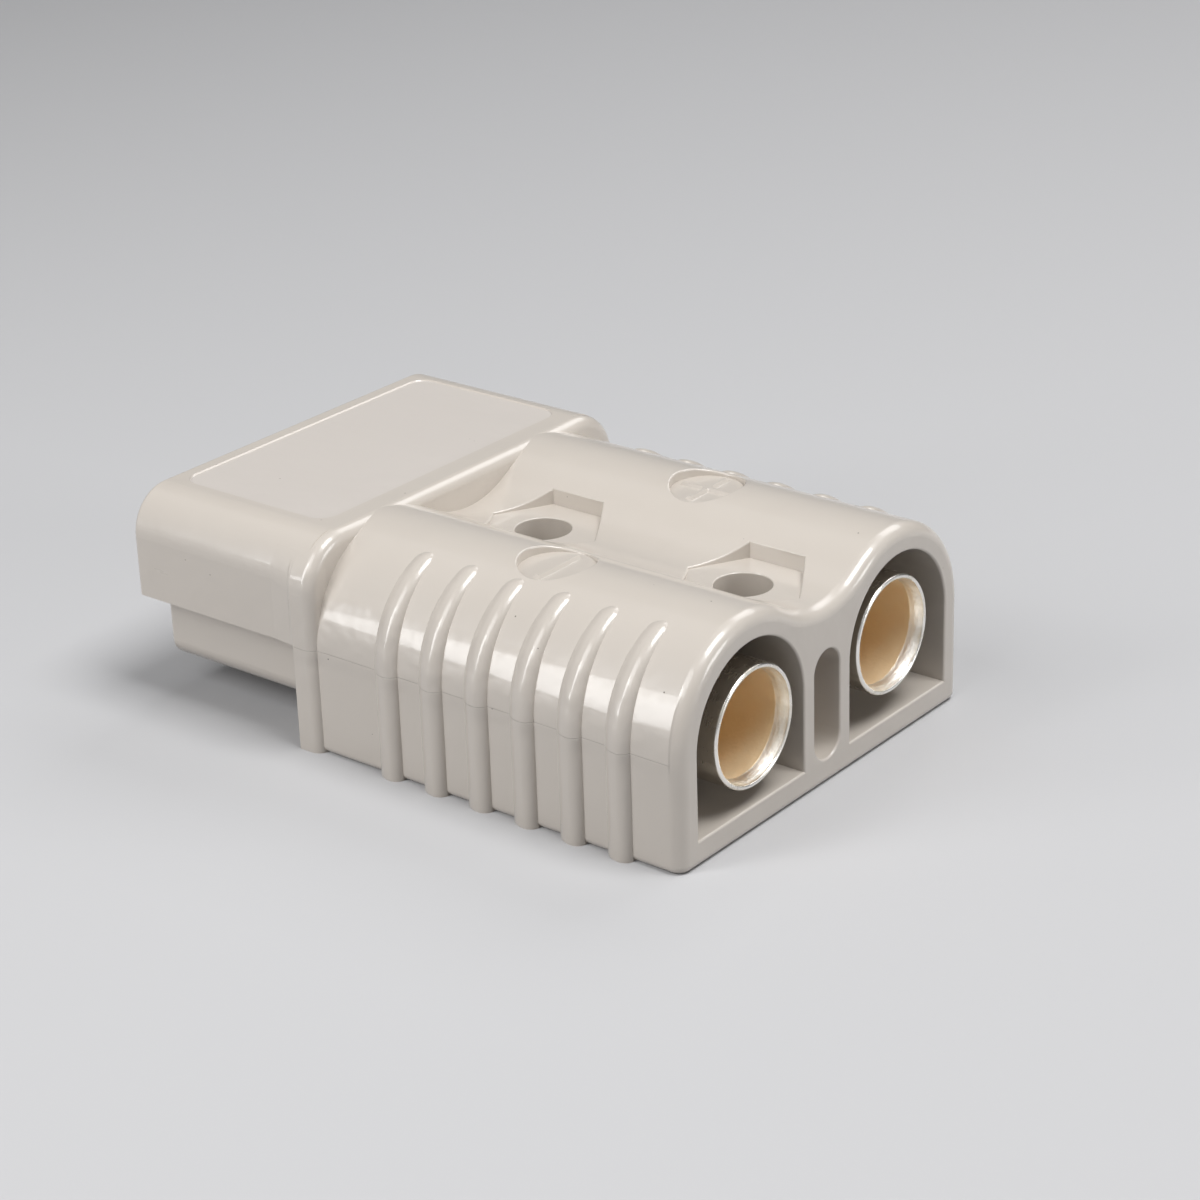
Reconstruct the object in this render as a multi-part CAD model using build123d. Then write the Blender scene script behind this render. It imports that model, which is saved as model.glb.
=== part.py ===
"""Genderless two-pole power connector for heavy cable.

One moulded housing mates with its own twin, turned over. It holds two plated crimp contacts,
each pressed up towards the mate by a leaf spring that lies in the tongue below it.

Millimetres. X runs across the two poles, +Y points to the mating front and +Z is up.
The origin is under the middle of the housing, on the surface that it rests on.
"""
import os
from math import cos, radians, sin, sqrt

from build123d import *

# Housing body: two arches side by side on a flat base
pole_spacing = 37.7
arch_radius = 17.1
axis_height = 17.2
valley_drop = 5.6
body_length = 72.7
rear_rounding = 2.1
base_rounding = 1.2
overrun = 1.0
touch = 0.02

# Cable openings and the web between them
opening_wall = 4.15
tunnel_depth = 62.0
opening_edge = 0.35
web_slot_width = 6.5
web_slot_bottom = 4.05
web_slot_top = 21.7
web_slot_depth = 8.4

# Finger ribs on both flanks
rib_count = 6
rib_pitch = 8.71
first_rib = 8.65
rib_width = 4.5
rib_height = 1.25
rib_crest = 1.65
rib_fade_angle = 82.0
rib_turn = 67.0
rib_tip_radius = 3.5
rib_tip_turn = 60.0

# Flange at the front of the body, with the hood and the tongues that stand on it
flange_thickness = 4.5
flange_height = 1.0
flange_corner = 8.4
flange_rounding = 1.8
flange_front_edge = 0.3
flange_ramp = 4.2
hood_reach = 33.8
hood_swell = 0.3
hood_corner = 7.2
hood_side_wall = 4.2
hood_top_wall = 4.6
hood_inner_corner = 3.0
hood_edge = 0.7
divider_thickness = 5.2
divider_setback = 3.0
mating_clearance = 0.4
tongue_setback = 1.3
tongue_corner = 3.0
tongue_edge = 0.8
channel_depth = 7.4
channel_clearance = 0.7
passage_headroom = 1.6
tip_room = 3.0

# Mounting holes with a hexagon pocket for the nut or bolt head
mounting_spacing = 38.1
first_mounting_hole = 15.1
mounting_hole_radius = 4.44
pocket_depth = 0.35
pocket_across_flats = 17.4
pocket_edge = 0.28
hole_edge = 0.2

# Polarity marks: round recesses with raised bars
mark_place = 35.1
mark_share = 0.345
mark_wall = 0.26
mark_edge = 0.25
negative_mark_inset = 0.3
positive_mark_inset = 0.5
mark_bar_width = 1.4
mark_bar_height = 0.45
mark_bar_gap = 1.0
mark_bar_taper = 42.0

# Shallow label panel on the hood
label_left_margin = 8.6
label_right_margin = 6.9
label_rear_margin = 0.9
label_front_margin = 2.8
label_corner = 3.0
label_depth = 0.2
label_taper = 50.0

# Crimp contacts
barrel_room = 3.53
barrel_wall = 1.22
barrel_length = 38.0
barrel_bore_depth = 34.0
barrel_setback = 0.05
barrel_inset = 1.3
barrel_drop = 0.15
barrel_lip = 0.35
shoulder_length = 12.0
roundness_share = 0.995
blade_spread = 0.58
blade_thickness = 4.5
blade_edge = 0.8
blade_rise = 0.1
tip_setback = 0.7
tip_thickness = 2.1
tip_drop = 6.6
tip_bend = 2.0
negative_lift = -0.55
positive_lift = 0.5
negative_shift = 0.55
positive_shift = -0.3

# Leaf springs
spring_margin = 4.0
spring_thickness = 0.8
spring_start = 1.2
spring_end_gap = 1.0
spring_clearance = 0.1

overall_length = body_length + hood_reach
rear_y = -overall_length / 2
body_front_y = rear_y + body_length
hood_front_y = overall_length / 2
pole_x = pole_spacing / 2
side_x = pole_x + arch_radius
top_z = axis_height + arch_radius
valley_height = top_z - valley_drop
pocket_floor_height = valley_height - pocket_depth
mark_radius = arch_radius * mark_share
mark_bar_length = 2 * (mark_radius - mark_bar_gap)
mark_reach = mark_radius + positive_mark_inset
mark_depth = arch_radius - sqrt(arch_radius**2 - mark_reach**2) + mark_wall
opening_radius = arch_radius - opening_wall
barrel_radius = opening_radius - barrel_room
barrel_bore_radius = barrel_radius - barrel_wall
blade_width = 2 * (barrel_radius + blade_spread)
spring_width = blade_width - 2 * spring_margin
tunnel_end_y = rear_y + tunnel_depth
ceiling_z = top_z - hood_top_wall
hood_x = side_x + hood_swell
cavity_x = hood_x - hood_side_wall
tongue_x = cavity_x - mating_clearance
tongue_bottom_z = 2 * axis_height - ceiling_z + mating_clearance
tongue_top_z = axis_height - mating_clearance / 2
tongue_front_y = hood_front_y - tongue_setback
tongue_slot = divider_thickness + 2 * mating_clearance
channel_floor_z = axis_height - channel_depth
channel_width = blade_width + 2 * channel_clearance
contact_x = pole_x - barrel_inset


def slab(sketch, y_from, y_to):
    """Carry a sketch drawn across X and Z from one place to another along Y."""
    start = Plane(origin=(0, y_to, 0), x_dir=(1, 0, 0), z_dir=(0, -1, 0))
    return extrude(start * sketch, amount=y_to - y_from)


def upright(sketch, z_from, z_to):
    """Carry a sketch drawn in plan from one height to another."""
    return extrude(Plane(origin=(0, 0, z_from)) * sketch, amount=z_to - z_from)


def across(sketch, width):
    """Carry a side view drawn in Y and Z to half the width each way along X."""
    return extrude(Plane.YZ * sketch, amount=width / 2, both=True)


def on_circle(centre_x, centre_z, radius, turn):
    """Give the point of a circle at an angle in degrees, counted up from +X."""
    return centre_x + radius * cos(radians(turn)), centre_z + radius * sin(radians(turn))


def arch_profile():
    """Two arches on straight sides, joined by a hollow valley that is tangent to both."""
    rise = valley_height - axis_height
    valley_radius = (pole_x**2 + rise**2 - arch_radius**2) / (2 * (arch_radius - rise))
    valley_z = valley_height + valley_radius
    share = arch_radius / (arch_radius + valley_radius)
    touch_x = pole_x * (1 - share)
    touch_z = axis_height + (valley_z - axis_height) * share
    outer_left = (-side_x, axis_height)
    outer_right = (side_x, axis_height)
    left = ThreePointArc(outer_left, (-pole_x, top_z), (-touch_x, touch_z))
    valley = ThreePointArc((-touch_x, touch_z), (0, valley_height), (touch_x, touch_z))
    right = ThreePointArc((touch_x, touch_z), (pole_x, top_z), outer_right)
    base = Polyline(outer_right, (side_x, 0), (-side_x, 0), outer_left)
    return make_face(left + valley + right + base)


def tabletop_profile(half_width, bottom_z, top, corner):
    """A plain block outline whose two upper corners are rounded."""
    shoulder_z = top - corner
    inner_x = half_width - corner
    slope = corner * sqrt(1 / 2)
    left = ThreePointArc(
        (-half_width, shoulder_z), (-inner_x - slope, shoulder_z + slope), (-inner_x, top)
    )
    right = ThreePointArc((inner_x, top), (inner_x + slope, shoulder_z + slope), (half_width, shoulder_z))
    bridge = Line((-inner_x, top), (inner_x, top))
    base = Polyline(
        (half_width, shoulder_z), (half_width, bottom_z), (-half_width, bottom_z), (-half_width, shoulder_z)
    )
    return make_face(left + bridge + right + base)


def body_block():
    """The solid body, rounded where its arches meet the rear face and softened at its base."""
    block = slab(arch_profile(), rear_y, body_front_y)
    rear_edges = block.edges().group_by(Axis.Y)[0]
    block = fillet([edge for edge in rear_edges if edge.center().Z > base_rounding], rear_rounding)
    return fillet(block.edges().group_by(Axis.Z)[0], base_rounding)


def flange():
    """The collar at the front of the body, proud of the flanks and flush with the hood's top."""
    outline = tabletop_profile(side_x + flange_height, 0, top_z, flange_corner)
    collar = slab(outline, body_front_y - flange_thickness, body_front_y)
    for place, rounding in ((0, flange_rounding), (-1, flange_front_edge)):
        rim = collar.edges().group_by(Axis.Y)[place]
        collar = fillet([edge for edge in rim if edge.center().Z > base_rounding], rounding)
    return collar


def flange_slope():
    """The slope above the parting line by which the hood's flanks rise to the flange."""
    wide = tabletop_profile(side_x + flange_height, axis_height, top_z, flange_corner)
    narrow = tabletop_profile(hood_x, axis_height, top_z, hood_corner)
    crest_y = body_front_y - flange_thickness + flange_rounding
    faces = []
    for outline, y in ((wide, crest_y), (narrow, body_front_y + flange_ramp)):
        faces.append((Plane(origin=(0, y, 0), x_dir=(1, 0, 0), z_dir=(0, -1, 0)) * outline).face())
    slope = loft(faces, ruled=True)
    cell = tabletop_profile(cavity_x, axis_height - overrun, ceiling_z, hood_inner_corner)
    return slope - slab(cell, body_front_y, body_front_y + 2 * flange_ramp)


def rib_section(crest, root):
    """A finger rib cut across: two arcs that meet at its crest, the steeper one behind.

    Drawn with its height along the first axis and the housing's length along the second.
    """
    foot = crest - rib_height
    rear = TangentArc((crest, rib_crest), (foot, 0), tangent=(0, -1))
    front = TangentArc((crest, rib_crest), (foot, rib_width), tangent=(0, 1))
    below = Polyline((foot, rib_width), (root, rib_width), (root, 0), (foot, 0))
    return make_face(rear + front + below)


def rib(side):
    """One rib on the negative flank (side -1) or the positive flank (side 1), at the rear face.

    Its upper part is turned about an axis further out than the arch's own and with a smaller
    radius, so it slowly sinks into the arch, and a much tighter turn ends it in a blunt tip.
    """
    crest_x = side_x + rib_height
    fade_x, fade_z = on_circle(pole_x, axis_height, arch_radius, rib_fade_angle)
    reach = fade_x - crest_x
    climb = fade_z - axis_height
    turn_radius = -(reach**2 + climb**2) / (2 * reach)
    turn_x = crest_x - turn_radius
    root_depth = rib_height * 2
    section = rib_section(turn_radius, turn_radius - root_depth)
    flat_section = Plane(origin=(turn_x, 0, axis_height)) * section
    straight = extrude(flat_section, amount=-axis_height)
    turn_axis = Axis((turn_x, 0, axis_height), (0, -1, 0))
    ring = revolve(flat_section, turn_axis, revolution_arc=rib_turn)
    tip_x, tip_z = on_circle(turn_x, axis_height, turn_radius - rib_tip_radius, rib_turn)
    tip_axis = Axis((tip_x, 0, tip_z), (0, -1, 0))
    tip = revolve(flat_section.rotate(turn_axis, rib_turn), tip_axis, revolution_arc=rib_tip_turn)
    whole = straight + ring + tip
    return whole if side > 0 else mirror(whole, about=Plane.YZ)


def ribs():
    """Both rows of ribs."""
    rows = []
    for side in (-1, 1):
        master = rib(side)
        for index in range(rib_count):
            rows.append(Pos(0, rear_y + first_rib + index * rib_pitch, 0) * master)
    return rows


def hood():
    """The upper half of the mating end, open below and in front, with a divider in the middle."""
    outline = tabletop_profile(hood_x, axis_height, top_z, hood_corner)
    shell = slab(outline, body_front_y - flange_thickness / 2, hood_front_y)
    shell = fillet(shell.edges().group_by(Axis.Y)[-1], hood_edge)
    inside = tabletop_profile(cavity_x, axis_height - overrun, ceiling_z, hood_inner_corner)
    return shell - slab(inside, body_front_y, hood_front_y + overrun)


def divider():
    """The wall that keeps the two poles apart under the hood."""
    outline = Pos(0, (axis_height + top_z - label_depth * 2) / 2) * Rectangle(
        divider_thickness, top_z - label_depth * 2 - axis_height
    )
    wall = slab(outline, body_front_y - flange_thickness / 2, hood_front_y - divider_setback)
    front = wall.edges().filter_by(Axis.Z).group_by(Axis.Y)[-1]
    return fillet(front, divider_thickness / 3)


def tongue(side):
    """One of the two lower blocks of the mating end, which carries the contact's blade."""
    inner_x = tongue_slot / 2
    width = tongue_x - inner_x
    height = tongue_top_z - tongue_bottom_z
    middle_x = inner_x + width / 2
    outline = Pos(middle_x, tongue_bottom_z + height / 2) * Rectangle(width, height)
    block = slab(outline, body_front_y - flange_thickness / 2, tongue_front_y)
    lower = block.edges().filter_by(Axis.Y).group_by(Axis.Z)[0]
    block = fillet(lower.sort_by(Axis.X)[-1], tongue_corner)
    block = fillet(block.edges().group_by(Axis.Y)[-1], tongue_edge)
    return block if side > 0 else mirror(block, about=Plane.YZ)


def contact_passage(side):
    """The channel in a tongue and its way through the body's front wall into the tunnel."""
    x = side * contact_x
    depth = axis_height + passage_headroom - channel_floor_z
    way = Pos(x, channel_floor_z + depth / 2) * Rectangle(channel_width, depth)
    through = slab(way, tunnel_end_y - overrun, body_front_y + overrun)
    trough_height = axis_height - channel_floor_z
    trough = Pos(x, channel_floor_z + trough_height / 2) * Rectangle(channel_width, trough_height)
    channel = slab(trough, body_front_y, tongue_front_y + overrun)
    drop = channel_floor_z - tongue_bottom_z
    notch_outline = Pos(x, channel_floor_z - drop / 4) * Rectangle(channel_width, drop / 2)
    notch = slab(notch_outline, tongue_front_y - tip_room, tongue_front_y + overrun)
    return [through, channel, notch]


def cable_tunnel(side):
    """The D-shaped opening: a flat floor with square corners under a round roof."""
    x = side * pole_x
    height = axis_height - opening_wall
    lower = Pos(x, opening_wall + height / 2) * Rectangle(2 * opening_radius, height)
    outline = lower + Pos(x, axis_height) * Circle(opening_radius)
    return slab(outline, rear_y - overrun, tunnel_end_y)


def web_slot():
    """The blind slot in the web between the cable openings."""
    middle = (web_slot_bottom + web_slot_top) / 2
    outline = Pos(0, middle) * SlotOverall(web_slot_top - web_slot_bottom, web_slot_width, rotation=90)
    return slab(outline, rear_y - overrun, rear_y + web_slot_depth)


def mounting_places():
    """Where the two mounting holes are along the housing."""
    first = rear_y + first_mounting_hole
    return first, first + mounting_spacing


def mounting_cut(y):
    """A through hole under a hexagon pocket whose flats face the two arches."""
    hole = Pos(0, y) * Circle(mounting_hole_radius)
    pocket = Pos(0, y) * RegularPolygon(pocket_across_flats / 2, 6, major_radius=False, rotation=30)
    return [upright(hole, -overrun, top_z), upright(pocket, pocket_floor_height, top_z + overrun)]


def mark_x(side):
    """Where a polarity mark is across the poles, a little nearer the middle than its arch."""
    inset = positive_mark_inset if side > 0 else negative_mark_inset
    return side * (pole_x - inset)


def polarity_recess(side):
    """The round recess on top of an arch, with a flat floor."""
    outline = Pos(mark_x(side), rear_y + mark_place) * Circle(mark_radius)
    return upright(outline, top_z - mark_depth, top_z + overrun)


def polarity_bars(side):
    """A single ridge on the negative arch and a cross of ridges on the positive arch."""
    floor_z = top_z - mark_depth
    bar = Rectangle(mark_bar_length, mark_bar_width)
    if side > 0:
        bar += Rectangle(mark_bar_width, mark_bar_length)
    outline = Pos(mark_x(side), rear_y + mark_place) * bar
    foot = upright(outline, floor_z - mark_bar_height, floor_z)
    ridge = extrude(Plane(origin=(0, 0, floor_z)) * outline, amount=mark_bar_height, taper=mark_bar_taper)
    return foot + ridge


def label_panel():
    """The shallow recess for a label on the hood."""
    rear = body_front_y + label_rear_margin
    front = hood_front_y - label_front_margin
    left = -side_x + label_left_margin
    right = side_x - label_right_margin
    panel = RectangleRounded(right - left, front - rear, label_corner)
    outline = Pos((left + right) / 2, (rear + front) / 2) * panel
    floor = Plane(origin=(0, 0, top_z - label_depth))
    return extrude(floor * outline, amount=2 * label_depth, taper=-label_taper)


def rear_mouths(solid):
    """The edges of the cable openings and of the web slot in the rear face."""
    rims = solid.edges().filter_by_position(Axis.Y, rear_y, rear_y)
    return [rim for rim in rims if opening_wall / 2 < rim.center().Z < top_z - opening_wall / 2]


def pocket_rims(solid):
    """The edges in which the hexagon pockets break through the arches and the valley."""
    across_corners = 2 * pocket_across_flats / sqrt(3)
    rims = []
    for y in mounting_places():
        for edge in solid.edges().filter_by_position(Axis.Y, y - across_corners / 2, y + across_corners / 2):
            lowest = min((edge @ 0).Z, (edge @ 1).Z)
            inside = abs(edge.center().X) < pocket_across_flats / 2 + touch
            if inside and lowest > valley_height - touch and edge.center().Z > valley_height + touch:
                rims.append(edge)
    return rims


def hole_rims(solid):
    """The edges of the mounting holes in the floors of their pockets."""
    circles = solid.edges().filter_by_position(Axis.Z, pocket_floor_height - touch, pocket_floor_height + touch)
    return circles.filter_by(GeomType.CIRCLE)


def mark_rim(solid, side):
    """The edge in which a round recess breaks through its arch."""
    middle = Vector(mark_x(side), rear_y + mark_place)
    rim = []
    for edge in solid.edges().filter_by_position(Axis.Z, top_z - mark_depth + touch, top_z):
        start = edge @ 0
        if (Vector(start.X, start.Y) - middle).length < mark_radius + touch and edge.length > mark_radius:
            rim.append(edge)
    return rim


def housing():
    """The whole moulding, first everything that stands out and then everything that is cut in."""
    solid = body_block() + flange() + flange_slope() + hood() + divider() + tongue(-1) + tongue(1)
    solid += ribs()
    cuts = [web_slot(), label_panel()]
    for side in (-1, 1):
        cuts += [cable_tunnel(side), polarity_recess(side)]
        cuts += contact_passage(side)
    for y in mounting_places():
        cuts += mounting_cut(y)
    solid -= cuts
    solid = fillet(rear_mouths(solid), opening_edge)
    solid = fillet(pocket_rims(solid), pocket_edge)
    solid = fillet(hole_rims(solid), hole_edge)
    for side in (-1, 1):
        solid = fillet(mark_rim(solid, side), mark_edge)
    return solid + [polarity_bars(-1), polarity_bars(1)]


def barrel():
    """The crimp barrel, a tube closed at the blade's end, with softened lips at its mouth."""
    start = rear_y + barrel_setback
    end = start + barrel_length
    tube = slab(Circle(barrel_radius), start, end)
    tube -= slab(Circle(barrel_bore_radius), start - overrun, start + barrel_bore_depth)
    return chamfer(tube.edges().group_by(Axis.Y)[0], barrel_lip)


def shoulder():
    """The forged change of section from the round barrel to the flat blade."""
    start = rear_y + barrel_setback + barrel_length
    round_plane = Plane(origin=(0, start, 0), x_dir=(1, 0, 0), z_dir=(0, 1, 0))
    flat_plane = Plane(
        origin=(0, start + shoulder_length, blade_rise - blade_thickness / 2), x_dir=(1, 0, 0), z_dir=(0, 1, 0)
    )
    near_round = RectangleRounded(2 * barrel_radius, 2 * barrel_radius, barrel_radius * roundness_share)
    flat = RectangleRounded(blade_width, blade_thickness, blade_edge)
    return loft([(round_plane * near_round).face(), (flat_plane * flat).face()])


def blade():
    """The flat blade, whose tip is bent down over the front of the tongue."""
    start = rear_y + barrel_setback + barrel_length + shoulder_length
    front = tongue_front_y - tip_setback
    under = blade_rise - blade_thickness
    low = blade_rise - tip_drop
    points = [
        (start, blade_rise),
        (front, blade_rise),
        (front, low),
        (front - tip_thickness, low),
        (front - tip_thickness, under),
        (start, under),
    ]
    side_view = make_face(Polyline(*points, close=True))
    nose = side_view.vertices().sort_by(Axis.X)[-2:].sort_by(Axis.Y)[-1]
    strip = across(fillet(nose, tip_bend), blade_width)
    return fillet(strip.edges().filter_by(Axis.Y), blade_edge)


def contact(side, shift, lift):
    """A silver-plated copper contact in its place, lying as its play in the channel lets it."""
    whole = barrel() + shoulder() + blade()
    return Pos(side * (contact_x + shift), 0, axis_height - barrel_drop + lift) * whole


def retention_spring(side, lift):
    """A bowed leaf spring that lies on the channel's floor and holds the blade up."""
    start = body_front_y + spring_start
    end = tongue_front_y - tip_room - spring_end_gap
    blade_under = axis_height - barrel_drop + lift + blade_rise - blade_thickness
    crest = blade_under - spring_clearance - spring_thickness
    middle = (start + end) / 2
    lower = ThreePointArc((start, channel_floor_z), (middle, crest), (end, channel_floor_z))
    upper = Pos(0, spring_thickness) * lower
    ends = Line(lower @ 0, upper @ 0) + Line(lower @ 1, upper @ 1)
    leaf = across(make_face(lower + upper + ends), spring_width)
    return Pos(side * contact_x, 0, 0) * leaf


os.makedirs("parts", exist_ok=True)
pieces = {
    "housing": housing(),
    "contact_negative": contact(-1, negative_shift, negative_lift),
    "contact_positive": contact(1, positive_shift, positive_lift),
    "retention_spring_negative": retention_spring(-1, negative_lift),
    "retention_spring_positive": retention_spring(1, positive_lift),
}
for name, solid in pieces.items():
    export_step(solid, f"parts/{name}.step")
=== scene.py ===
"""Genderless two-pole power connector, dressed for its photograph.

Metres, in the same frame as the solids: X runs across the poles, +Y points to the mating front
and +Z is up. Sizes whose name or section says so are in millimetres. Everything rides on the one
body, root.
"""

import bmesh
import bpy
import numpy as np
from mathutils import Matrix, Vector


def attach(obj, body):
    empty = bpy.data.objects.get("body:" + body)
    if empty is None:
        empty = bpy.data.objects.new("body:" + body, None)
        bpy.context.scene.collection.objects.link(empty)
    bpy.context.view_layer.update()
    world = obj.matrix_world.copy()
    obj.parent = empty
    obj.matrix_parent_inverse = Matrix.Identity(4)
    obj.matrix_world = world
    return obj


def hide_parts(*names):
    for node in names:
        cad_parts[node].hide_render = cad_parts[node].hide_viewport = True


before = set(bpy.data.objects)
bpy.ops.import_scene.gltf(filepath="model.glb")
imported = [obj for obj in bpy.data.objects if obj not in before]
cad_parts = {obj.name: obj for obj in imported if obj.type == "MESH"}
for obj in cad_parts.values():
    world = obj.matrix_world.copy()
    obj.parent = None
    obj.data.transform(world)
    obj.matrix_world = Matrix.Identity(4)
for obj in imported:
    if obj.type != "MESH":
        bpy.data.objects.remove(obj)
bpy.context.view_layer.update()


# The view. The camera stands where the photograph was taken from: behind the cable end, to the
# left and nearly half a metre away, turned by about two degrees in its own plane.
MM = 0.001
camera_place = Vector((-330.7, -280.1, 207.9)) * MM
camera_forward = Vector((0.70901, 0.57724, -0.40508)).normalized()
camera_up = Vector((0.33499, 0.22978, 0.91377))
camera_lens = 90.9
camera_sensor = 36.0
camera_near_clip = 0.01

camera_right = camera_forward.cross(camera_up).normalized()
camera_up = camera_right.cross(camera_forward)
camera_turn = Matrix((camera_right, camera_up, -camera_forward)).transposed()

view = bpy.data.cameras.new("view")
view.lens = camera_lens
view.sensor_width = camera_sensor
view.clip_start = camera_near_clip
camera = bpy.data.objects.new("camera", view)
camera.matrix_world = Matrix.Translation(camera_place) @ camera_turn.to_4x4()
bpy.context.scene.collection.objects.link(camera)
bpy.context.scene.camera = camera
bpy.context.scene.view_settings.view_transform = "Standard"


# The floor. A plain pale sheet, bent up in a wide curve behind the part as in a photographer's
# light tent. It gives soft light back to the part as a darker sheet would, so that the flanks and
# the cable openings keep their depth.
floor_colour = (0.56, 0.56, 0.57, 1.0)
floor_bounce_colour = (0.30, 0.30, 0.31, 1.0)
floor_half_width = 3.0
floor_near = -3.0
floor_far = 1.0
floor_bend = 0.5
floor_height = 1.2
floor_rows = 97
floor_columns = 33


class Flow:
    """One output socket of a material's nodes. Sums and products of flows add Math nodes."""

    def __init__(self, paint, socket):
        self.paint = paint
        self.socket = socket

    def joined(self, operation, first, second):
        """One Math node over two flows, or over a flow and a number."""
        return self.paint.node("ShaderNodeMath", {"operation": operation}, [first, second])

    def __add__(self, other):
        return self.joined("ADD", self, other)

    def __radd__(self, other):
        return self.joined("ADD", other, self)

    def __sub__(self, other):
        return self.joined("SUBTRACT", self, other)

    def __rsub__(self, other):
        return self.joined("SUBTRACT", other, self)

    def __mul__(self, other):
        return self.joined("MULTIPLY", self, other)

    def __rmul__(self, other):
        return self.joined("MULTIPLY", other, self)

    def __pow__(self, other):
        return self.joined("POWER", self, other)

    def size(self):
        """The flow without its sign."""
        return self.joined("ABSOLUTE", self, 0.0)


class Paint:
    """A material under construction: the shader's own sockets and the nodes that feed them."""

    def __init__(self, name, **constants):
        self.material = bpy.data.materials.new(name)
        self.material.use_nodes = True
        self.tree = self.material.node_tree
        self.shader = self.tree.nodes["Principled BSDF"]
        for socket, value in constants.items():
            self.shader.inputs[socket.replace("_", " ")].default_value = value

    def node(self, kind, settings, values, output=0):
        """Add a node, set its settings and then its sockets, and give one of its outputs."""
        made = self.tree.nodes.new(kind)
        for name, value in settings.items():
            setattr(made, name, value)
        pairs = values.items() if isinstance(values, dict) else enumerate(values)
        for key, value in pairs:
            if isinstance(value, Flow):
                self.tree.links.new(value.socket, made.inputs[key])
            else:
                made.inputs[key].default_value = value
        return Flow(self, made.outputs[output])

    def feed(self, socket, flow):
        """Link a flow to one of the shader's own sockets."""
        self.tree.links.new(flow.socket, self.shader.inputs[socket])

    def place(self):
        """The shaded point in the piece's own coordinates, in metres."""
        return self.node("ShaderNodeTexCoord", {}, {}, "Object")

    def along(self):
        """The three coordinates of the shaded point, in millimetres."""
        parts = self.node("ShaderNodeSeparateXYZ", {}, [self.place()])
        axes = [Flow(self, socket) for socket in parts.socket.node.outputs]
        return [axis * (1.0 / MM) for axis in axes]

    def stretched(self, stretch):
        """The shaded point with each axis multiplied by its own number."""
        return self.node("ShaderNodeMapping", {}, {"Vector": self.place(), "Scale": stretch})

    def speckle(self, size_mm, detail=2.0, roughness=0.5, stretch=(1.0, 1.0, 1.0)):
        """Noise from 0 to 1 whose spots are about this large, divided by the stretch of each axis."""
        values = {"Vector": self.stretched(stretch), "Scale": 1.0 / (size_mm * MM)}
        values.update(Detail=detail, Roughness=roughness)
        return self.node("ShaderNodeTexNoise", {}, values, "Fac")

    def specks(self, spacing_mm, radius_mm, share):
        """1 in small spots that sit in this share of the cells of a random foam, 0 elsewhere.

        A spot is full up to half its radius and fades out from there.
        """
        values = {"Vector": self.place(), "Scale": 1.0 / (spacing_mm * MM)}
        distance = self.node("ShaderNodeTexVoronoi", {}, values, "Distance")
        shade = Flow(self, distance.socket.node.outputs["Color"])
        pick = self.node("ShaderNodeSeparateColor", {}, [shade])
        pick_edge = 0.001
        spot = self.step(distance * spacing_mm, radius_mm, radius_mm * 0.5)
        return spot * self.step(pick, 1.0 - share, 1.0 - share + pick_edge)

    def step(self, flow, low, high):
        """0 at low, 1 at high and a smooth rise between them. Low may be the larger one."""
        settings = {"interpolation_type": "SMOOTHSTEP"}
        values = {"Value": flow, "From Min": min(low, high), "From Max": max(low, high)}
        rise = self.node("ShaderNodeMapRange", settings, values)
        return rise if low < high else 1.0 - rise

    def between(self, flow, low, high, soft):
        """1 between two places and 0 outside them, with edges this soft."""
        return self.step(flow, low - soft, low) * self.step(flow, high + soft, high)

    def mix(self, share, first, second):
        """Blend two colours."""
        return self.node("ShaderNodeMix", {"data_type": "RGBA"}, {0: share, 6: first, 7: second}, 2)

    def bump(self, *layers):
        """Tilt the surface by the sum of heights from 0 to 1, each with its depth in millimetres."""
        total = sum(height * depth for height, depth in layers)
        values = {"Height": total, "Distance": MM, "Strength": 1.0}
        self.feed("Normal", self.node("ShaderNodeBump", {}, values))


def give(piece, paint):
    """Make this the only material of the piece."""
    piece.data.materials.clear()
    piece.data.materials.append(paint.material)


def shown(mesh, name):
    """Put a mesh in the scene as a smooth object that stands at the origin."""
    piece = bpy.data.objects.new(name, mesh)
    bpy.context.scene.collection.objects.link(piece)
    mesh.polygons.foreach_set("use_smooth", np.ones(len(mesh.polygons), dtype=bool))
    return piece


def grid_faces(rows, columns, closed):
    """Quads between neighbouring points of a grid. A closed grid joins its last column to its first."""
    across = np.arange(columns if closed else columns - 1)
    beside = (across + 1) % columns
    lower = np.arange(rows - 1)[:, None] * columns
    corners = [lower + across, lower + beside, lower + columns + beside, lower + columns + across]
    return np.stack(corners, axis=-1).reshape(-1, 4)


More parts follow.
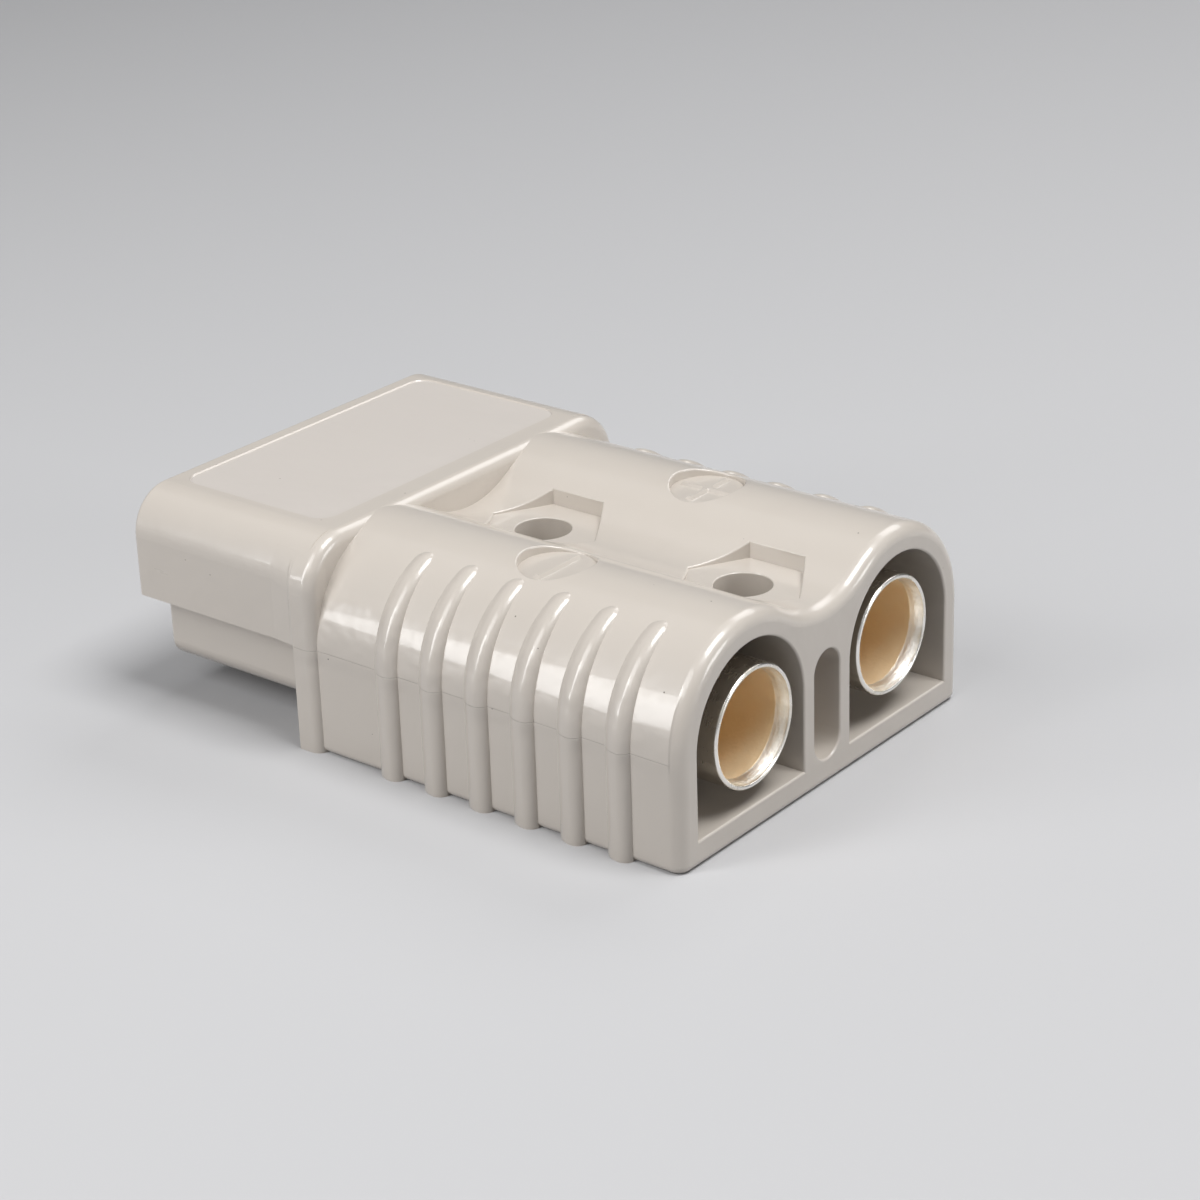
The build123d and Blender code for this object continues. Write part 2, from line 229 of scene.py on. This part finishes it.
def floor_sheet():
    """Points of the sheet: level to floor_far, then a quarter circle, then straight up.

    With s the way along it past floor_far and R the bend: back = far + R sin(s/R), height =
    R (1 - cos(s/R)) up to s = R pi/2, and height grows by s - R pi/2 beyond. The side goes from
    edge to edge, and both are turned to lie square to the camera.
    """
    bend_length = floor_bend * np.pi / 2
    along = np.linspace(floor_near, floor_far + bend_length + floor_height, floor_rows)
    past = np.clip(along - floor_far, 0.0, bend_length)
    back = np.minimum(along, floor_far) + floor_bend * np.sin(past / floor_bend)
    climb = np.clip(along - floor_far - bend_length, 0.0, None)
    height = floor_bend * (1.0 - np.cos(past / floor_bend)) + climb
    side, back = np.meshgrid(np.linspace(-floor_half_width, floor_half_width, floor_columns), back)
    height = np.broadcast_to(height[:, None], side.shape)
    away = np.array((camera_forward.x, camera_forward.y))
    away = away / np.linalg.norm(away)
    points = (away[0] * back + away[1] * side, away[1] * back - away[0] * side, height)
    mesh = bpy.data.meshes.new("floor")
    faces = grid_faces(*side.shape, closed=False)
    mesh.from_pydata(np.stack(points, axis=-1).reshape(-1, 3).tolist(), [], faces.tolist())
    return mesh


floor = shown(floor_sheet(), "floor")
floor_paint = Paint("floor_sheet", Roughness=0.8, Specular_IOR_Level=0.15)
bounced = floor_paint.node("ShaderNodeLightPath", {}, {}, "Is Diffuse Ray")
floor_paint.feed("Base Color", floor_paint.mix(bounced, floor_colour, floor_bounce_colour))
give(floor, floor_paint)


# The light. A narrow soft box on the left leans, and its slanted edge shows in the near flank.
# Two boxes hang high on either side and one almost overhead, steep enough to leave the cable
# openings dark, and a small one looks at the rear face. The room around adds almost nothing.
lamp_aim = Vector((0.0, 0.0, 0.02))
room_colour = (0.95, 0.97, 1.0, 1.0)
room_light = 0.05
room_shown = 0.40


def lamp(name, place, width, height, power, lean=0.0):
    """A rectangular soft lamp at this place, which faces the part and leans in its own plane."""
    light = bpy.data.lights.new(name, "AREA")
    light.shape = "RECTANGLE"
    light.size = width
    light.size_y = height
    light.energy = power
    place = Vector(place)
    aim = (lamp_aim - place).to_track_quat("-Z", "Y").to_matrix()
    turned = aim @ Matrix.Rotation(np.radians(lean), 3, "Z")
    holder = bpy.data.objects.new(name, light)
    holder.matrix_world = Matrix.Translation(place) @ turned.to_4x4()
    bpy.context.scene.collection.objects.link(holder)


lamp("left_softbox", (-0.540, 0.285, 0.262), width=0.16, height=0.50, power=1.6, lean=-22.0)
lamp("upper_left_softbox", (-0.75, 0.10, 0.85), width=0.7, height=0.5, power=3.4)
lamp("upper_right_softbox", (0.80, 0.0, 0.80), width=0.7, height=0.5, power=2.8)
lamp("upper_rear_softbox", (0.05, -0.38, 1.0), width=0.5, height=0.5, power=8.1)
lamp("rear_softbox", (0.30, -0.95, 0.24), width=0.35, height=0.30, power=2.0)


def room_strength(tree):
    """The room's light, and the paler room that the camera and the reflections show.

    Strength = light + (shown - light) times 1 for camera, glossy and transmission rays.
    """
    rays = tree.nodes.new("ShaderNodeLightPath").outputs
    looking = rays["Is Camera Ray"]
    for name in ("Is Glossy Ray", "Is Transmission Ray"):
        either = tree.nodes.new("ShaderNodeMath")
        either.operation = "MAXIMUM"
        tree.links.new(looking, either.inputs[0])
        tree.links.new(rays[name], either.inputs[1])
        looking = either.outputs[0]
    strength = tree.nodes.new("ShaderNodeMapRange")
    strength.inputs["To Min"].default_value = room_light
    strength.inputs["To Max"].default_value = room_shown
    tree.links.new(looking, strength.inputs["Value"])
    return strength.outputs["Result"]


world = bpy.data.worlds.new("room")
world.use_nodes = True
room = world.node_tree.nodes["Background"]
room.inputs["Color"].default_value = room_colour
world.node_tree.links.new(room_strength(world.node_tree), room.inputs["Strength"])
bpy.context.scene.world = world


# The housing. One moulding of glossy warm grey polycarbonate: fine orange peel and slow waves
# in its gloss, sink waves where the ribs stand on its shoulders, a parting line at mid height,
# a satin label panel on the hood and a few dark specks. Millimetres.
housing_light = (0.650, 0.596, 0.536, 1.0)
housing_deep = (0.612, 0.558, 0.498, 1.0)
housing_mottle = {"size_mm": 24.0, "detail": 3.0}
housing_gloss = 0.24
housing_coat = 0.68
scuff_grain = {"size_mm": 3.0, "detail": 4.0, "roughness": 0.6, "stretch": (1.0, 0.15, 1.0)}
scuff_dulling = 0.14
peel_sizes_and_depths = ((9.0, 0.12), (4.2, 0.075), (1.9, 0.028))

panel_colour = (0.600, 0.556, 0.516, 1.0)
panel_across = (-27.2, 28.9)
panel_length = (20.5, 50.3)
panel_level = (34.0, 34.14)
panel_soft = 0.05
panel_level_soft = 0.03
panel_dulling = 0.16
panel_coat_loss = 0.58
panel_grain = 0.35
panel_grain_depth = 0.006

flank_start = 33.0
flank_full = 34.0
flank_length = (-51.2, 19.6)
flank_soft = 0.4
shoulder_level = (17.0, 29.0)
shoulder_soft = 2.5
sink_size = 3.4
sink_depth = 0.20

seam_height = 17.2
seam_width = 0.07
seam_wander = 0.16
seam_wander_size = 14.0
seam_shade = 0.30
seam_depth = 0.05

speck_colour = (0.10, 0.08, 0.06, 1.0)
speck_spacing = 3.0
speck_radius = 0.17
speck_share = 0.16
speck_shade = 0.85
speck_coat_loss = 0.3
speck_depth = 0.02


def housing_paint():
    """Coated grey plastic whose panel, seam and specks are masks worked out from the place."""
    paint = Paint("housing_plastic", Coat_Roughness=0.07, IOR=1.585)
    x, y, z = paint.along()
    panel = (
        paint.between(x, *panel_across, panel_soft)
        * paint.between(y, *panel_length, panel_soft)
        * paint.between(z, *panel_level, panel_level_soft)
    )
    flank = paint.step(x.size(), flank_start, flank_full) * paint.between(y, *flank_length, flank_soft)
    wander = (paint.speckle(seam_wander_size, 1.0) - 0.5) * seam_wander
    seam = paint.step((z - seam_height + wander).size(), seam_width, 0.0) * flank
    shoulder = flank * paint.between(z, *shoulder_level, shoulder_soft)
    spots = paint.specks(speck_spacing, speck_radius, speck_share)
    colour = paint.mix(paint.speckle(**housing_mottle), housing_deep, housing_light)
    colour = paint.mix(panel, colour, panel_colour)
    colour = paint.mix(seam * seam_shade, colour, speck_colour)
    colour = paint.mix(spots * speck_shade, colour, speck_colour)
    paint.feed("Base Color", colour)
    scuffs = paint.speckle(**scuff_grain)
    paint.feed("Roughness", housing_gloss + scuffs * scuff_dulling + panel * panel_dulling)
    paint.feed("Coat Weight", housing_coat - panel * panel_coat_loss - spots * speck_coat_loss)
    peel = [(paint.speckle(size, 1.0), depth) for size, depth in peel_sizes_and_depths]
    paint.bump(
        *peel,
        (paint.speckle(sink_size, 1.0) * shoulder, sink_depth),
        (paint.speckle(panel_grain, 1.0) * panel, panel_grain_depth),
        (seam, -seam_depth),
        (spots, -speck_depth),
    )
    return paint


give(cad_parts["housing"], housing_paint())


# The crimp contacts. Each is one length of copper tube, forged flat at its front and turned down
# over the tongue, then plated with silver. The bore keeps its copper colour below a flared and
# plated mouth, and the barrel's outside, which lies in the shade of the cable tunnel, is painted
# darker as painted shade. Millimetres, from the barrel's own axis.
barrel_radius = 9.42
mouth_radius = 8.72
bore_radius = 8.2
rear_face = -53.2
barrel_front = -15.2
shoulder_front = -3.2
bore_end = -19.2
bore_floor_radii = (0.4, 4.0)
bore_corner = 0.6
bore_corner_inset = 0.1
bore_corner_rise = 0.2
bore_wall_start = 0.7
plated_depth = 2.3
plated_gap = 0.12
plated_step = 0.05
flare_power = 1.6
flare_end = 0.35
inner_lip = 0.28
outer_lip = 0.38
barrel_start = 0.8
blade_half_width = 10.0
blade_top = 0.1
blade_under = -4.4
blade_edge = 0.8
blade_front = 51.25
tip_thickness = 2.1
tip_low = -6.5
tip_bend = 2.0
tip_inner_bend = 0.4
tip_inner_gap = 0.2
tip_rounding = 0.6

section_points = 112
tube_rows = 24
flare_rows = 6
rounding_points = 7
shoulder_rows = 25
blade_stations = 40
bend_rows = 17
tip_rows = 5

copper_outside_bore = (0.12, 0.04)
copper_before_floor = (0.6, 0.1)
plate_edge = 0.1
plate_ragged_size = 2.5
plate_ragged_reach = 0.5
mouth_edge = 0.1
# Where the painted shade lies: on the barrel's outside, which sits in the shade of the cable tunnel.
painted_shade_below_outside = (0.30, 0.10)
painted_shade_start = 0.5
painted_shade_soft = 0.3
forging_fade = 4.0

silver_bright = (0.93, 0.91, 0.87, 1.0)
silver_dull = (0.74, 0.69, 0.58, 1.0)
# Painted shade: this darker silver stands in for the shade on the barrel's outside inside the tunnel.
silver_painted_shade = (0.46, 0.41, 0.34, 1.0)
copper_deep = (0.98, 0.76, 0.47, 1.0)
copper_light = (0.99, 0.86, 0.62, 1.0)
copper_mottle = {"size_mm": 5.0, "detail": 3.0}
copper_metal_loss = 0.45
tarnish = {"size_mm": 6.0, "detail": 4.0, "roughness": 0.6}
tarnish_range = (0.42, 0.68)
tarnish_shade = 0.7
# How far the barrel's outside is darkened towards the painted shade colour.
painted_shade_share = 0.75

silver_gloss = 0.14
grain_dulling = 0.16
tarnish_dulling = 0.10
copper_dulling = 0.10
mouth_dulling = 0.16
lathe_marks = {"size_mm": 0.30, "detail": 2.0, "roughness": 0.6, "stretch": (0.12, 1.0, 0.12)}
drawing_marks = {"size_mm": 0.35, "detail": 2.0, "roughness": 0.6, "stretch": (1.0, 0.05, 1.0)}
grain_depth = 0.020
hammer_size = 1.2
hammer_depth = 0.03
mouth_ripple_size = 0.9
mouth_ripple_depth = 0.05


def band(outer, inner, half_width, corner):
    """Points of a closed skin that is carried along two curves in the side view.

    outer and inner are the top and bottom curves (y, z), half_width the reach along x and corner
    the rounding of the section. With m and h the middle and half the difference of the curves,
    and t going round: point = m + (sgn(sin t) (|h| - r) + r sin t) h/|h|, and
    x = sgn(cos t) (w - r) + r cos t.
    """
    turn = (np.arange(section_points) + 0.5) * 2 * np.pi / section_points
    middle = (outer + inner) / 2
    half = (outer - inner) / 2
    depth = np.linalg.norm(half, axis=1)[:, None]
    half = half / np.maximum(depth, 1e-9)
    corner = np.minimum(corner[:, None], np.minimum(depth, half_width[:, None]))
    x = np.sign(np.cos(turn)) * (half_width[:, None] - corner) + corner * np.cos(turn)
    rise = np.sign(np.sin(turn)) * (depth - corner) + corner * np.sin(turn)
    y = middle[:, :1] + rise * half[:, :1]
    z = middle[:, 1:] + rise * half[:, 1:]
    return np.stack([x, y, z], axis=-1)


def skin(points, name, shift):
    """Join rows of points to a mesh in millimetres, close both ends and move it into its place.

    Each end is a fan of triangles from the mean of its row to the row's own points.
    """
    rows, columns = points.shape[:2]
    ends = points[[0, -1]].mean(axis=1)
    corners = np.concatenate([points.reshape(-1, 3), ends]) + np.array(shift)
    first, last = rows * columns, rows * columns + 1
    around = np.arange(columns)
    beside = (around + 1) % columns
    rear_fan = np.stack([around, np.full(columns, first), beside], axis=-1)
    final = (rows - 1) * columns
    front_fan = np.stack([final + around, final + beside, np.full(columns, last)], axis=-1)
    faces = grid_faces(rows, columns, closed=True).tolist() + rear_fan.tolist() + front_fan.tolist()
    mesh = bpy.data.meshes.new(name)
    mesh.from_pydata((corners * MM).tolist(), [], faces)
    solid = bmesh.new()
    solid.from_mesh(mesh)
    bmesh.ops.recalc_face_normals(solid, faces=solid.faces)
    solid.to_mesh(mesh)
    solid.free()
    piece = shown(mesh, name)
    even = piece.modifiers.new("even_normals", "WEIGHTED_NORMAL")
    even.weight = 100
    return piece


def eased(low, high, share):
    """A value that goes straight from low to high as the share goes from 0 to 1."""
    return low + (high - low) * share


def stations(y, radius):
    """Points (y, radius) of a round profile. The radius may be one number for them all."""
    return np.stack(np.broadcast_arrays(y, radius), axis=-1)


def round_rows(profile):
    """The curves that band needs for round sections: z = radius, -radius, and the corner is all."""
    y, radius = profile.T
    outer = stations(y, radius)
    return outer, outer * (1, -1), radius, radius


def lip_profile():
    """The mouth of the barrel, turned over from the bore to the outside in two quarter circles.

    With t from 0 to 90 degrees and r each lip's radius, the inner one is y = face + r (1 - sin t),
    radius = mouth + r (1 - cos t), and the outer one y = face + r (1 - cos t),
    radius = barrel - r (1 - sin t).
    """
    turn = np.linspace(0.0, np.pi / 2, rounding_points)
    inside = stations(
        rear_face + inner_lip * (1 - np.sin(turn)), mouth_radius + inner_lip * (1 - np.cos(turn))
    )
    outside = stations(
        rear_face + outer_lip * (1 - np.cos(turn)), barrel_radius - outer_lip * (1 - np.sin(turn))
    )
    return np.concatenate([inside, outside])


def tube_profile():
    """The barrel as one round profile: bore floor, bore, flared mouth, lip and outside.

    The mouth flares as a power of its share s: radius = bore + (mouth - bore) s^p.
    """
    bore_floor = [(bore_end, radius) for radius in bore_floor_radii]
    bore_floor.append((bore_end, bore_radius - bore_corner))
    bore_floor.append((bore_end - bore_corner_rise, bore_radius - bore_corner_inset))
    plated_start = rear_face + plated_depth
    bore_wall = np.linspace(bore_end - bore_wall_start, plated_start + plated_gap, tube_rows)
    share = np.linspace(0.0, 1.0, flare_rows)
    flare = stations(
        eased(plated_start, rear_face + flare_end, share),
        eased(bore_radius + plated_step, mouth_radius, share**flare_power),
    )
    outside = np.linspace(rear_face + barrel_start, barrel_front, tube_rows)
    return np.concatenate(
        [
            np.array(bore_floor),
            stations(bore_wall, bore_radius),
            flare,
            lip_profile(),
            stations(outside, barrel_radius),
        ]
    )


def shoulder_curves():
    """The curves where the tube is forged flat: each measure goes straight from tube to blade."""
    share = np.linspace(0.0, 1.0, shoulder_rows)[1:]
    y = eased(barrel_front, shoulder_front, share)
    outer = np.stack([y, eased(barrel_radius, blade_top, share)], axis=-1)
    inner = np.stack([y, eased(-barrel_radius, blade_under, share)], axis=-1)
    width = eased(barrel_radius, blade_half_width, share)
    return outer, inner, width, eased(barrel_radius, blade_edge, share)


def blade_curves():
    """The curves of the blade and of its tip, whose end is rounded over.

    The top is level, turns down in a quarter circle of tip_bend and runs straight down, and the
    underside does the same with tip_inner_bend. With t from 0 to 90 degrees and r the rounding,
    the end sinks by r sin t while both faces and both sides draw in by r (1 - cos t).
    """
    tip_rear = blade_front - tip_thickness
    y = np.linspace(shoulder_front, tip_rear - tip_inner_bend, blade_stations)[1:]
    flat_outer = np.stack([y, np.full(y.shape, blade_top)], axis=-1)
    flat_inner = np.stack([y, np.full(y.shape, blade_under)], axis=-1)

    turn = np.linspace(0.0, np.pi / 2, bend_rows)
    centre = np.array((blade_front - tip_bend, blade_top - tip_bend))
    bend_outer = centre + tip_bend * np.stack([np.sin(turn), np.cos(turn)], axis=-1)
    inner_turn = np.stack([1 - np.cos(turn), -np.sin(turn)], axis=-1) * tip_inner_bend
    bend_inner = inner_turn + np.array((tip_rear - tip_inner_bend, blade_under))

    z = np.linspace(bend_inner[-1, 1] - tip_inner_gap, tip_low + tip_rounding, tip_rows)
    down_outer = np.stack([np.full(z.shape, blade_front), z], axis=-1)
    down_inner = np.stack([np.full(z.shape, tip_rear), z], axis=-1)

    close = np.linspace(0.0, np.pi / 2, rounding_points)[1:]
    end_z = z[-1] - tip_rounding * np.sin(close)
    draw_in = tip_rounding * (1 - np.cos(close))
    end_outer = np.stack([blade_front - draw_in, end_z], axis=-1)
    end_inner = np.stack([tip_rear + draw_in, end_z], axis=-1)

    outer = np.concatenate([flat_outer, bend_outer, down_outer, end_outer])
    inner = np.concatenate([flat_inner, bend_inner, down_inner, end_inner])
    full_width = np.full(len(outer) - len(close), blade_half_width)
    width = np.concatenate([full_width, blade_half_width - draw_in])
    return outer, inner, width, np.full(len(outer), blade_edge)


def contact_curves():
    """The curves of a whole contact, one after the other: barrel, shoulder, blade and tip."""
    parts = [round_rows(tube_profile()), shoulder_curves(), blade_curves()]
    return [np.concatenate(curves) for curves in zip(*parts)]


def contact_paint(name, axis_x, axis_z):
    """Silver plate with turning marks round the barrel, bare copper deeper in the bore, and painted
    shade darkening the barrel's outside.
    """
    paint = Paint(name, Coat_Roughness=0.1)
    x, y, z = paint.along()
    radius = ((x - axis_x) ** 2.0 + (z - axis_z) ** 2.0) ** 0.5

    ragged = (paint.speckle(plate_ragged_size, 2.0) - 0.5) * plate_ragged_reach
    plated_start = rear_face + plated_depth
    far, near = copper_outside_bore
    bore = paint.step(radius, bore_radius + far, bore_radius + near)
    bore = bore * paint.step(y + ragged, plated_start - plate_edge, plated_start + plate_edge)
    far, near = copper_before_floor
    bore = bore * paint.step(y, bore_end + far, bore_end + near)
    flat = paint.step(y, shoulder_front - forging_fade, shoulder_front)
    mouth = paint.step(radius, mouth_radius + mouth_edge, mouth_radius - mouth_edge)
    # Painted shade: the barrel's outside is darkened in colour where it lies in the cable tunnel.
    deep, shallow = painted_shade_below_outside
    painted_shade = paint.step(radius, barrel_radius - deep, barrel_radius - shallow)
    painted_shade = painted_shade * paint.between(y, rear_face + painted_shade_start, barrel_front, painted_shade_soft)

    grain = paint.speckle(**lathe_marks) * (1.0 - flat) + paint.speckle(**drawing_marks) * flat
    dull = paint.step(paint.speckle(**tarnish), *tarnish_range)
    silver = paint.mix(dull * tarnish_shade, silver_bright, silver_dull)
    silver = paint.mix(painted_shade * painted_shade_share, silver, silver_painted_shade)
    copper = paint.mix(paint.speckle(**copper_mottle), copper_deep, copper_light)
    paint.feed("Base Color", paint.mix(bore, silver, copper))
    paint.feed("Metallic", 1.0 - bore * copper_metal_loss)
    plate = silver_gloss + grain * grain_dulling + dull * tarnish_dulling
    paint.feed("Roughness", plate + bore * copper_dulling + mouth * mouth_dulling)
    paint.bump(
        (grain, grain_depth),
        (paint.speckle(hammer_size, 2.0), hammer_depth),
        (paint.speckle(mouth_ripple_size, 1.0) * mouth, mouth_ripple_depth),
    )
    return paint


def contact(name, axis_x, axis_z):
    """One contact, whose barrel's axis lies at this x and z."""
    piece = skin(band(*contact_curves()), f"{name}_plated", (axis_x, 0.0, axis_z))
    give(piece, contact_paint(name, axis_x, axis_z))
    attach(piece, "root")
    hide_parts(name)


contact("contact_negative", axis_x=-18.1, axis_z=16.5)
contact("contact_positive", axis_x=17.25, axis_z=17.55)


# The retention springs. Each is a strip of stainless spring steel, blanked and bowed, that lies
# loose in its tongue and holds the blade up. Its faces carry the marks of rolling and a little
# stain. Millimetres.
spring_half_width = 6.0
spring_thickness = 0.8
spring_edge = 0.15
spring_start = 20.65
spring_end = 47.95
spring_floor = 9.8
spring_rows = 61
spring_gloss = 0.22
steel_bright = (0.64, 0.64, 0.65, 1.0)
steel_stained = (0.52, 0.50, 0.47, 1.0)
rolling_marks = {"size_mm": 0.4, "detail": 3.0, "roughness": 0.6, "stretch": (1.0, 0.04, 1.0)}
rolling_dulling = 0.2
rolling_depth = 0.01
stain_mottle = {"size_mm": 5.0, "detail": 3.0}
stain_range = (0.4, 0.7)


def spring_paint(name):
    """Bare steel with fine lines along the strip and soft stains."""
    paint = Paint(f"{name}_steel", Metallic=1.0)
    rolled = paint.speckle(**rolling_marks)
    stain = paint.step(paint.speckle(**stain_mottle), *stain_range)
    paint.feed("Base Color", paint.mix(stain, steel_bright, steel_stained))
    paint.feed("Roughness", spring_gloss + rolled * rolling_dulling)
    paint.bump((rolled, rolling_depth))
    return paint


def spring(name, x, crest):
    """A bowed leaf: z = floor + (crest - floor)(1 - u^2), with u from -1 to 1 along it."""
    u = np.linspace(-1.0, 1.0, spring_rows)
    y = eased(spring_start, spring_end, (u + 1) / 2)
    inner = np.stack([y, spring_floor + (crest - spring_floor) * (1 - u**2)], axis=-1)
    outer = inner + (0, spring_thickness)
    rows = band(outer, inner, np.full(u.shape, spring_half_width), np.full(u.shape, spring_edge))
    piece = skin(rows, f"{name}_leaf", (x, 0.0, 0.0))
    give(piece, spring_paint(name))
    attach(piece, "root")
    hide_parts(name)


spring("retention_spring_negative", x=-17.55, crest=11.2)
spring("retention_spring_positive", x=17.55, crest=12.25)
